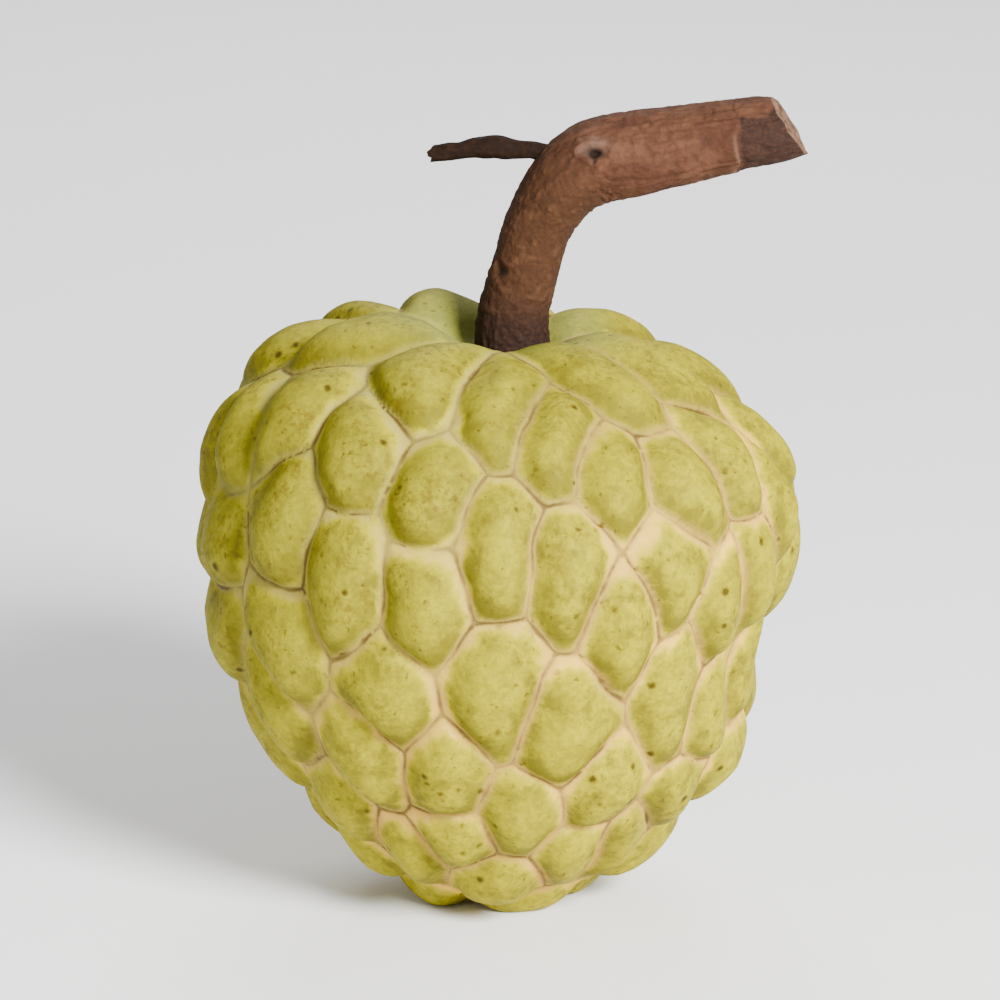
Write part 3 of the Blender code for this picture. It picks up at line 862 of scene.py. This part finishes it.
class StalkLook(bpy.types.PropertyGroup):
    bark_relief: FloatProperty(
        name="Bark Relief",
        description="Strength of the warts and cracks of the bark",
        default=1.0,
        min=0.0,
        max=2.0,
    )
    bark_colour: colour_property("Bark", "Reddish-brown bark", (0.047, 0.0165, 0.0082))
    bark_light_colour: colour_property("Light Bark", "Pinkish bark", (0.088, 0.036, 0.0185))
    # Dark bark: real darker mottling, and the painted shade in the cracks.
    dark_bark_and_crack_shade_colour: colour_property("Dark Bark", "Bark in the cracks", (0.026, 0.010, 0.005))
    lower_bark_colour: colour_property("Lower Bark", "Bark below the bend", (0.038, 0.015, 0.005))
    rim_colour: colour_property("Rims", "Pale rims of scar and ring crack", (0.20, 0.125, 0.088))
    wart_colour: colour_property("Warts", "Small corky warts", (0.075, 0.033, 0.013))
    foot_colour: colour_property("Foot", "Foot, and where bark is lost", (0.011, 0.006, 0.005))
    # Scar: the real dark of the scars, also used as painted shade in the twig's wrinkles.
    scar_and_wrinkle_shade_colour: colour_property("Scar", "Dark of the scars", (0.010, 0.005, 0.003))
    wood_colour: colour_property("Wood", "Pale wood of the cut end", (0.15, 0.084, 0.052))
    wood_dark_colour: colour_property("Dark Wood", "Stained wood", (0.050, 0.022, 0.012))
    twig_colour: colour_property("Twig", "Brown-black dry twig", (0.0095, 0.0045, 0.0022))
    twig_rust_colour: colour_property("Twig Rust", "Rusty patches of the twig", (0.022, 0.010, 0.0055))


class StageLook(bpy.types.PropertyGroup):
    floor_colour: colour_property("Floor", "Pale floor", (0.95, 0.95, 0.95))
    light_watts: FloatProperty(
        name="Key Light",
        description="Power of the softbox above the fruit",
        default=36.0,
        unit="POWER",
    )
    camera_elevation: FloatProperty(
        name="Camera Elevation",
        description="How far above the horizon the camera stands",
        default=math.radians(15.0),
        subtype="ANGLE",
    )
    camera_lens: IntProperty(name="Lens", description="Focal length in millimetres", default=180)
    view_width: FloatProperty(
        name="View Width", description="Width in view at the fruit", default=0.130, unit="LENGTH"
    )


class CUSTARDAPPLE_OT_skin(bpy.types.Operator):
    """Makes the skin of the fruit with its carpels"""

    bl_idname = "custardapple.skin"
    bl_label = "Skin"

    def execute(self, context):
        look = context.scene.custard_apple_fruit
        points, faces, attributes = skin_surface(look)
        skin = mesh_object("fruit_skin", points, faces, attributes, skin_material(look))
        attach(skin, "root")
        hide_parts("fruit")
        return {"FINISHED"}


class CUSTARDAPPLE_OT_stalk(bpy.types.Operator):
    """Makes the stalk and the branch that it was cut from"""

    bl_idname = "custardapple.stalk"
    bl_label = "Stalk"

    def execute(self, context):
        look = context.scene.custard_apple_stalk
        points, faces, attributes = stalk_surface(look)
        bark = mesh_object("stalk_bark", points, faces, attributes, bark_material(look))
        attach(bark, "root")
        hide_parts("stalk")
        return {"FINISHED"}


class CUSTARDAPPLE_OT_twig(bpy.types.Operator):
    """Makes the dry side twig"""

    bl_idname = "custardapple.twig"
    bl_label = "Side Twig"

    def execute(self, context):
        look = context.scene.custard_apple_stalk
        points, faces, attributes = twig_surface(look)
        twig = mesh_object("side_twig", points, faces, attributes, twig_material(look))
        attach(twig, "root")
        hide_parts("stalk")
        return {"FINISHED"}


def softbox(name, place, target, size, watts):
    """A round white light at a place, of a diameter and a power, turned to its target."""
    light = bpy.data.lights.new(name, "AREA")
    light.shape = "DISK"
    light.size = size
    light.energy = watts
    lamp = bpy.data.objects.new(name, light)
    lamp.location = place
    lamp.rotation_euler = (Vector(place) - Vector(target)).to_track_quat("Z", "Y").to_euler()
    bpy.context.scene.collection.objects.link(lamp)


class CUSTARDAPPLE_OT_stage(bpy.types.Operator):
    """Makes the pale floor, the soft lights and the camera"""

    bl_idname = "custardapple.stage"
    bl_label = "Stage"

    def execute(self, context):
        scene = context.scene
        look = scene.custard_apple_stage
        square = np.array([(-1, -1, 0), (1, -1, 0), (1, 1, 0), (-1, 1, 0)]) * FLOOR_REACH
        floor = mesh_object("floor", square, [(0, 1, 2, 3)], {}, floor_material(look))

        middle = (0.0, 0.0, 0.5 * (CAD_BOX[0].z + CAD_BOX[1].z))
        for name, (place, size, share) in SOFT_LIGHTS.items():
            softbox(name, place, middle, size, share * look.light_watts)
        world = bpy.data.worlds.new("studio")
        world.use_nodes = True
        sky = world.node_tree.nodes["Background"]
        sky.inputs["Color"].default_value = (1.0, 1.0, 1.0, 1.0)
        sky.inputs["Strength"].default_value = WORLD_STRENGTH
        scene.world = world

        lens = bpy.data.cameras.new("camera")
        lens.lens = look.camera_lens
        away = look.view_width * look.camera_lens / lens.sensor_width
        back = Vector((0.0, -math.cos(look.camera_elevation), math.sin(look.camera_elevation)))
        camera = bpy.data.objects.new("camera", lens)
        camera.location = Vector(middle) + back * away
        camera.rotation_euler = back.to_track_quat("Z", "Y").to_euler()
        scene.collection.objects.link(camera)
        scene.camera = camera
        return {"FINISHED"}


OPERATORS = (
    CUSTARDAPPLE_OT_skin,
    CUSTARDAPPLE_OT_stalk,
    CUSTARDAPPLE_OT_twig,
    CUSTARDAPPLE_OT_stage,
)


class CUSTARDAPPLE_PT_sidebar(bpy.types.Panel):
    """Lists the pieces and their sizes and colours"""

    bl_label = "Custard Apple"
    bl_space_type = "VIEW_3D"
    bl_region_type = "UI"
    bl_category = "Custard Apple"

    def draw(self, context):
        for operator in OPERATORS:
            self.layout.operator(operator.bl_idname)
        for look in (
            context.scene.custard_apple_fruit,
            context.scene.custard_apple_stalk,
            context.scene.custard_apple_stage,
        ):
            box = self.layout.box()
            for name in type(look).__annotations__:
                box.prop(look, name)


CLASSES = (FruitLook, StalkLook, StageLook, *OPERATORS, CUSTARDAPPLE_PT_sidebar)


def register():
    for kind in CLASSES:
        bpy.utils.register_class(kind)
    bpy.types.Scene.custard_apple_fruit = PointerProperty(type=FruitLook)
    bpy.types.Scene.custard_apple_stalk = PointerProperty(type=StalkLook)
    bpy.types.Scene.custard_apple_stage = PointerProperty(type=StageLook)


def unregister():
    del bpy.types.Scene.custard_apple_stage
    del bpy.types.Scene.custard_apple_stalk
    del bpy.types.Scene.custard_apple_fruit
    for kind in reversed(CLASSES):
        bpy.utils.unregister_class(kind)


def main():
    """Makes every piece and the stage."""
    register()
    bpy.ops.custardapple.skin()
    bpy.ops.custardapple.stalk()
    bpy.ops.custardapple.twig()
    bpy.ops.custardapple.stage()


if __name__ == "__main__":
    main()
